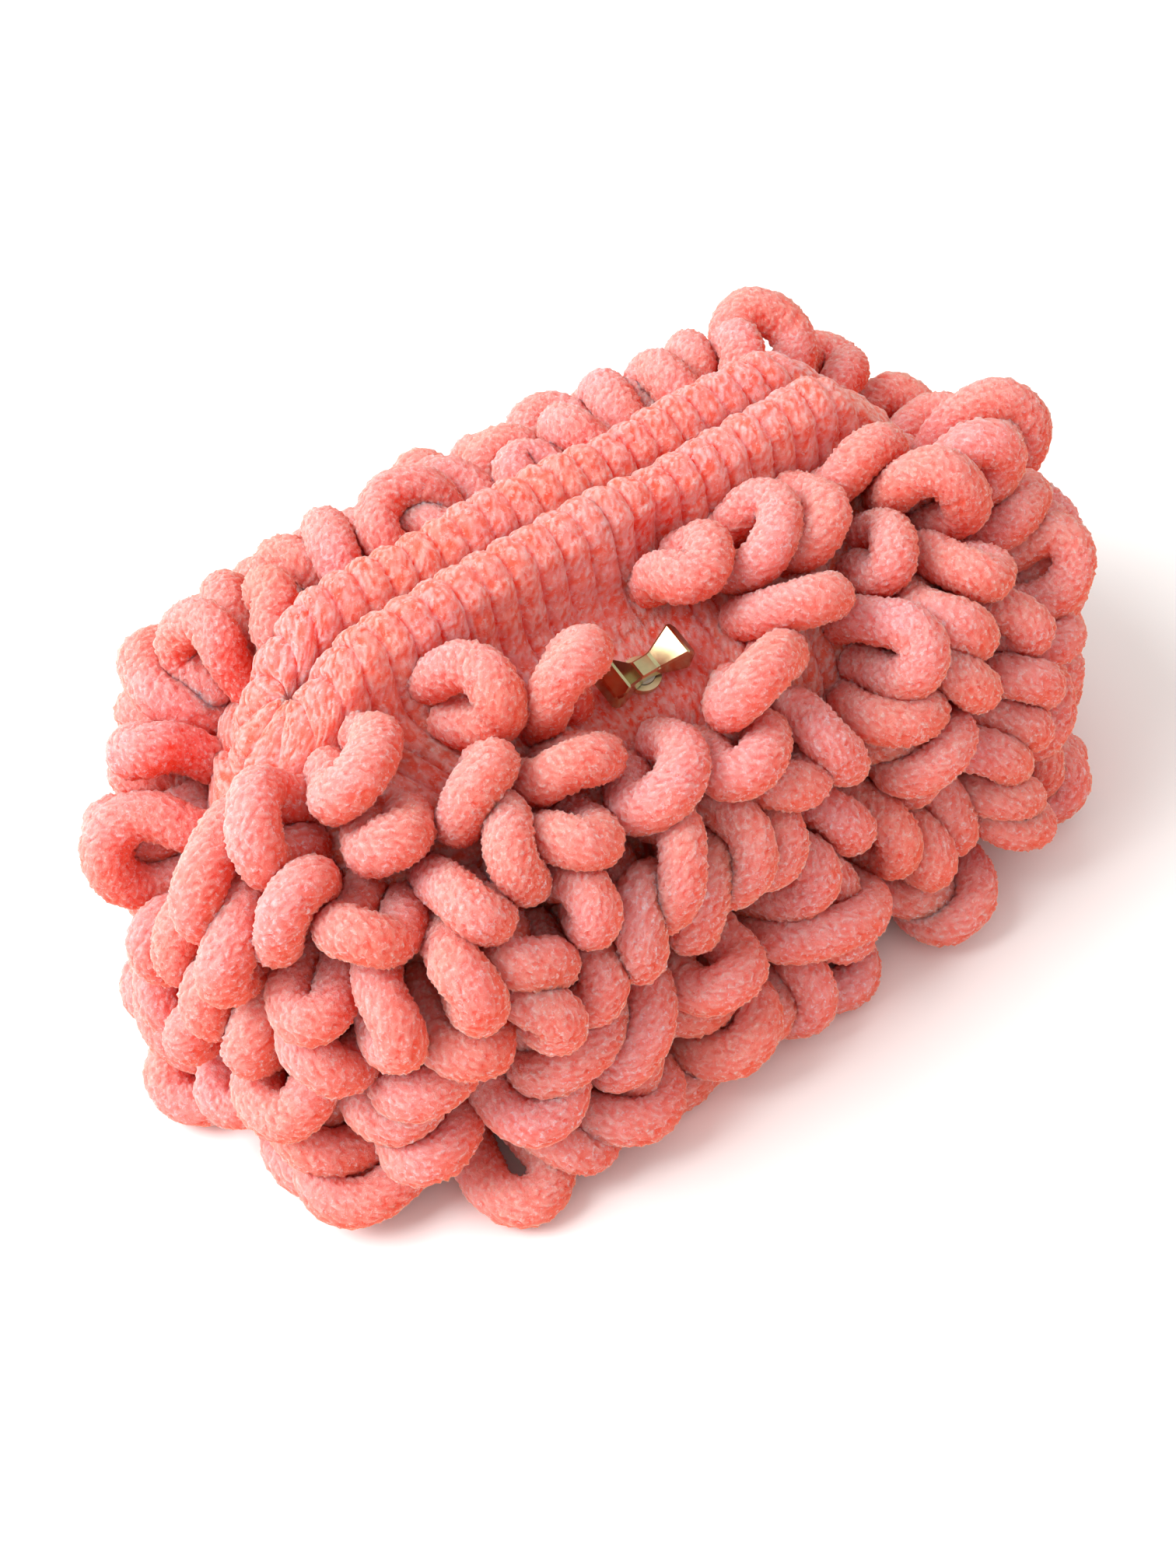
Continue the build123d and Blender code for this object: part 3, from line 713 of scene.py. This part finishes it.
def grouped_loops(shapes, rows):
    """The loops of each piece: its name, side and row in the frame, and the loops' numbers."""
    groups = {}
    for index, shape in enumerate(shapes):
        side = side_of(shape[0])
        row = sum(level <= LOOP_ROWS[rows[index]][0] + 1 for level in ROW_LOW) - 1
        name = f"{side}_row_{row + 1}"
        if side == "front":
            name += "_left" if shape[0, 0] < 0 else "_right"
        groups.setdefault((name, side, row), []).append(index)
    return sorted(groups.items())


def loop_pieces(material):
    """One piece for each row of each side; the front's rows are in a left and a right half."""
    shapes, rows, lengths = all_loops()
    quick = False
    loops = settle(shapes, lengths, QUICK_STEPS if quick else STEPS)
    points, pile_and_painted_light = loop_meshes(loops, quick)
    samples, ring = points.shape[1:3]
    faces = tube_faces(samples, ring)
    rng = np.random.default_rng(SEED + 2)
    tints = rng.uniform(0, 1, len(loops))
    pieces = {}
    for (name, side, row), members in grouped_loops(shapes, rows):
        part = points[members].reshape(-1, 3)
        shifts = np.arange(len(members))[:, None, None] * samples * ring
        quads = (faces[None] + shifts).reshape(-1, 4)
        distance, _ = wall_distance(part)
        values = {
            # Painted shade: the loops are darker and redder towards the knit that they leave.
            "crease_shade": smooth(0, 16, distance),
            # Pile and painted light: the pale tip colour shows on raised pile and on the side that
            # faces the key light.
            "pile_and_painted_light": pile_and_painted_light[members].ravel(),
            "tint": np.repeat(tints[members], samples * ring),
        }
        pieces[name] = (make_mesh(name, part, quads, material, values), side, row)
    return pieces


def empty_rows(pieces):
    """Rows of the frame in which no loop was placed, as at the ends of the mouth."""
    used = {(side, row) for _, side, row in pieces.values()}
    sides = ("front", "back", "left_end", "right_end")
    return [(side, row) for side in sides for row in range(ROWS) if (side, row) not in used]


# ---- materials -------------------------------------------------------------
BLACK = (0, 0, 0)
WHITE = (1, 1, 1)
TIP_HIGHLIGHT_MIX = 0.6             # how much the painted highlight colour shows on raised pile
GLINT_MIX = 0.7           # and in the bright grains, which are painted glints


def new_material(name):
    """An empty node material: its nodes, links and Principled shader."""
    material = bpy.data.materials.new(name)
    material.use_nodes = True
    nodes = material.node_tree.nodes
    return material, nodes, material.node_tree.links, nodes["Principled BSDF"]


def ramp(nodes, links, source, stops):
    """A colour ramp node fed by a socket."""
    node = nodes.new("ShaderNodeValToRGB")
    elements = node.color_ramp.elements
    while len(elements) < len(stops):
        elements.new(0.5)
    for element, (place, colour) in zip(elements, stops):
        element.position = place
        element.color = (*colour, 1)
    links.new(source, node.inputs["Fac"])
    return node.outputs["Color"]


def mixed(nodes, links, factor, first, second, kind="MIX"):
    """A colour mix of two sockets or colours."""
    node = nodes.new("ShaderNodeMix")
    node.data_type = "RGBA"
    node.blend_type = kind
    sockets = (node.inputs[0], node.inputs[6], node.inputs[7])
    for socket, value in zip(sockets, (factor, first, second)):
        if isinstance(value, (int, float)):
            socket.default_value = value
        elif isinstance(value, tuple):
            socket.default_value = (*value, 1)
        else:
            links.new(value, socket)
    return node.outputs[2]


def attribute(nodes, name):
    """A value that the mesh carries at its points."""
    node = nodes.new("ShaderNodeAttribute")
    node.attribute_name = name
    return node.outputs["Fac"]


def noise(nodes, links, scale, **settings):
    """The values of a noise texture fixed to the object."""
    node = nodes.new("ShaderNodeTexNoise")
    node.inputs["Scale"].default_value = scale
    for name, value in settings.items():
        node.inputs[name].default_value = value
    links.new(nodes.new("ShaderNodeTexCoord").outputs["Object"], node.inputs["Vector"])
    return node.outputs["Fac"]


def yarn_colour(nodes, links, fine, crease_shade_colour, body, tip_highlight, highlight_foot):
    """Chenille: painted shade in the creases, painted highlight on the raised pile and, on the loops,
    on their side towards the key light, painted glints, painted shade in the fine hollows, and slow
    colour changes.
    """
    slow = noise(nodes, links, 55)
    highlight_stops = [(highlight_foot, BLACK), (highlight_foot + 0.5, WHITE)]
    # Painted shade: a darker, redder colour in the creases and near the knit.
    crease_shade = ramp(nodes, links, attribute(nodes, "crease_shade"), [(0.0, crease_shade_colour), (0.7, body)])
    # Painted highlight: the raised pile takes the paler tip colour.
    pile_and_painted_light = ramp(nodes, links, attribute(nodes, "pile_and_painted_light"), highlight_stops)
    colour = mixed(nodes, links, pile_and_painted_light, crease_shade, mixed(nodes, links, TIP_HIGHLIGHT_MIX, crease_shade, tip_highlight))
    # Painted glints: bright specks of the highlight colour on the peaks of the fine bump.
    glints = ramp(nodes, links, fine, [(0.54, BLACK), (0.66, WHITE)])
    colour = mixed(nodes, links, glints, colour, mixed(nodes, links, GLINT_MIX, colour, tip_highlight))
    shades = [
        # Painted shade: darker in the hollows of the fine bump.
        (fine, [(0.30, (0.96, 0.84, 0.80)), (0.44, WHITE)]),
        (slow, [(0.35, (1.0, 0.96, 0.86)), (0.65, WHITE)]),
        (attribute(nodes, "tint"), [(0.0, (1.0, 0.90, 0.84)), (1.0, WHITE)]),
    ]
    for source, stops in shades:
        shade = ramp(nodes, links, source, stops)
        colour = mixed(nodes, links, 1.0, colour, shade, "MULTIPLY")
    return colour


def yarn_material(name, crease_shade_colour, body, tip_highlight, highlight_foot):
    """Soft chenille with its own body colour, a painted shade colour for its creases and a painted
    highlight colour for the tips of its pile.
    """
    material, nodes, links, shader = new_material(name)
    fine = noise(nodes, links, 1150, Detail=4, Roughness=0.7)
    colour = yarn_colour(nodes, links, fine, crease_shade_colour, body, tip_highlight, highlight_foot)
    links.new(colour, shader.inputs["Base Color"])
    looks = {
        "Roughness": 0.85,
        "Specular IOR Level": 0.05,
        "Sheen Weight": 0.1,
        "Sheen Roughness": 0.45,
        "Sheen Tint": (1.0, 0.74, 0.82, 1),
        "Subsurface Weight": 0.75,
        "Subsurface Radius": (1.0, 0.28, 0.2),
        "Subsurface Scale": 0.009,
    }
    for socket, value in looks.items():
        shader.inputs[socket].default_value = value
    bump = nodes.new("ShaderNodeBump")
    bump.inputs["Strength"].default_value = 1.0
    bump.inputs["Distance"].default_value = 0.0011
    links.new(fine, bump.inputs["Height"])
    links.new(bump.outputs["Normal"], shader.inputs["Normal"])
    return material


def metal_material(name, colour, roughness):
    """Plated metal with slightly uneven colour and polish."""
    material, nodes, links, shader = new_material(name)
    wear = noise(nodes, links, 320, Detail=5)
    shade = tuple(0.82 * value for value in colour)
    stops = [(0.35, shade), (0.6, colour)]
    links.new(ramp(nodes, links, wear, stops), shader.inputs["Base Color"])
    rough = nodes.new("ShaderNodeMapRange")
    rough.inputs["To Min"].default_value = roughness
    rough.inputs["To Max"].default_value = roughness + 0.12
    links.new(wear, rough.inputs["Value"])
    links.new(rough.outputs["Result"], shader.inputs["Roughness"])
    shader.inputs["Metallic"].default_value = 1.0
    return material


# ---- the whole scene -------------------------------------------------------
def carry(piece):
    """Bakes a front piece's place into its points; no body carries it."""
    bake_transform(piece)


def dress_shell():
    """Makes the knit and the lips, hands the base, the back and the back lip to the pouch's body,
    leaves the front's pieces unattached, and hides the frame's parts that they stand for.
    """
    # Colours: painted crease shade, the knit's own colour, painted highlight on the pile's tips; then
    # where that highlight starts on the pile.
    rib = yarn_material("yarn_rib", (1.0, 0.09, 0.05), (1.0, 0.18, 0.13), (1.0, 0.62, 0.68), 0.25)
    pieces = shell_pieces(rib)
    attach(pieces["knit_base"], "pouch")
    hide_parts("base_panel")
    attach(pieces["knit_back"], "pouch")
    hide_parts("back_panel", "left_end_panel", "right_end_panel")
    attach(pieces["lip_back"], "pouch")
    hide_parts("back_band")
    for word, side in (("left", -1), ("right", 1)):
        carry(pieces[f"lip_front_{word}"])
        carry(pieces[f"knit_front_{word}_top"])
        carry(pieces[f"knit_front_{word}_mid"])
        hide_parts("front_band")
        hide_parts("front_panel_upper")
        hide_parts("front_panel_middle")
    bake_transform(pieces["knit_front"])
    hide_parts("front_panel_lower")


def dress_loops():
    """Makes the loops, hands each row to the pouch's body except the front's middle and upper rows,
    which stay unattached, and hides the frame's rows.
    """
    # Colours: painted shade near the knit, the loops' own colour, painted highlight on the pile's
    # tips; then where that highlight starts on the pile.
    yarn = yarn_material("yarn_loop", (1.0, 0.07, 0.03), (1.0, 0.145, 0.095), (1.0, 0.64, 0.70), 0.43)
    bodies = {2: "front_middle", 3: "front_middle", 4: "front_upper", 5: "front_upper"}
    pieces = loop_pieces(yarn)
    for side, row in empty_rows(pieces):
        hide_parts(f"{side}_loops_{row + 1}")
    for name, (piece, side, row) in pieces.items():
        if side == "front" and row in bodies:
            carry(piece)
        else:
            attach(piece, "pouch")
        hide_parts(f"{side}_loops_{row + 1}")


def dress_lock():
    """Gives the lock's own solids their metals."""
    gold = metal_material("gold", (0.50, 0.45, 0.25), 0.16)
    plate = metal_material("gold_plate", (0.75, 0.64, 0.40), 0.3)
    steel = metal_material("steel", (0.6, 0.6, 0.6), 0.3)
    finishes = {
        "lock_knob": gold,
        "lock_base": plate,
        "lock_rear_cover": plate,
        "lock_backing_washer": plate,
        "lock_spindle": steel,
        "lock_spring_washer": steel,
    }
    for name, material in finishes.items():
        node = frame["nodes"][name]
        if not node.material_slots:
            node.data.materials.append(material)
        for slot in node.material_slots:
            slot.material = material


def add_floor():
    """A plain pale floor."""
    bpy.ops.mesh.primitive_plane_add(size=6, location=(0, 0, 0))
    floor = bpy.context.object
    floor.name = "floor"
    material, _, _, shader = new_material("floor_white")
    shader.inputs["Base Color"].default_value = (0.93, 0.93, 0.93, 1)
    shader.inputs["Roughness"].default_value = 1.0
    shader.inputs["Specular IOR Level"].default_value = 0.0
    floor.data.materials.append(material)


def add_light(name, place, aim, size, power):
    """A square area light at a place, in metres, turned to a point."""
    data = bpy.data.lights.new(name, "AREA")
    data.size = size
    data.energy = power
    light = bpy.data.objects.new(name, data)
    light.location = place
    light.rotation_euler = (Vector(aim) - Vector(place)).to_track_quat("-Z", "Y").to_euler()
    bpy.context.scene.collection.objects.link(light)


def light_scene():
    """Soft light from all round, and a key light from the left, above and behind."""
    world = bpy.data.worlds.new("studio")
    bpy.context.scene.world = world
    world.use_nodes = True
    background = world.node_tree.nodes["Background"]
    background.inputs["Color"].default_value = (1, 0.975, 0.94, 1)
    background.inputs["Strength"].default_value = 0.9
    add_light("key", (-0.75, 0.25, 0.95), (0, 0, 0.05), 0.8, 16)
    bpy.context.scene.view_settings.view_transform = "Standard"


AZIMUTH = -32.3           # camera's turn round the object, degrees
ELEVATION = 45.3          # camera's angle over the floor
ROLL = -7.2               # camera's turn about its own line of sight
DISTANCE = 387.0          # from the camera to the point that it aims at
AIM = (-19.0, -18.1, 50.0)
LENS = 47.9
SENSOR = 36.0


def add_camera():
    """The camera, before the object, to its left and above it, slightly rolled."""
    azimuth, elevation, roll = [math.radians(value) for value in (AZIMUTH, ELEVATION, ROLL)]
    away = math.cos(elevation)
    back = Vector((math.sin(azimuth) * away, -math.cos(azimuth) * away, math.sin(elevation)))
    level = Vector((math.cos(azimuth), math.sin(azimuth), 0))
    rise = back.cross(level)
    right = math.cos(roll) * level + math.sin(roll) * rise
    up = math.cos(roll) * rise - math.sin(roll) * level
    data = bpy.data.cameras.new("camera")
    data.lens = LENS
    data.sensor_width = SENSOR
    data.clip_start = 0.01
    camera = bpy.data.objects.new("camera", data)
    place = (Vector(AIM) + back * DISTANCE) * MM
    turn = Matrix((right, up, back)).transposed().to_4x4()
    camera.matrix_world = Matrix.Translation(place) @ turn
    bpy.context.scene.collection.objects.link(camera)
    bpy.context.scene.camera = camera


dress_shell()
dress_loops()
dress_lock()
add_floor()
light_scene()
add_camera()
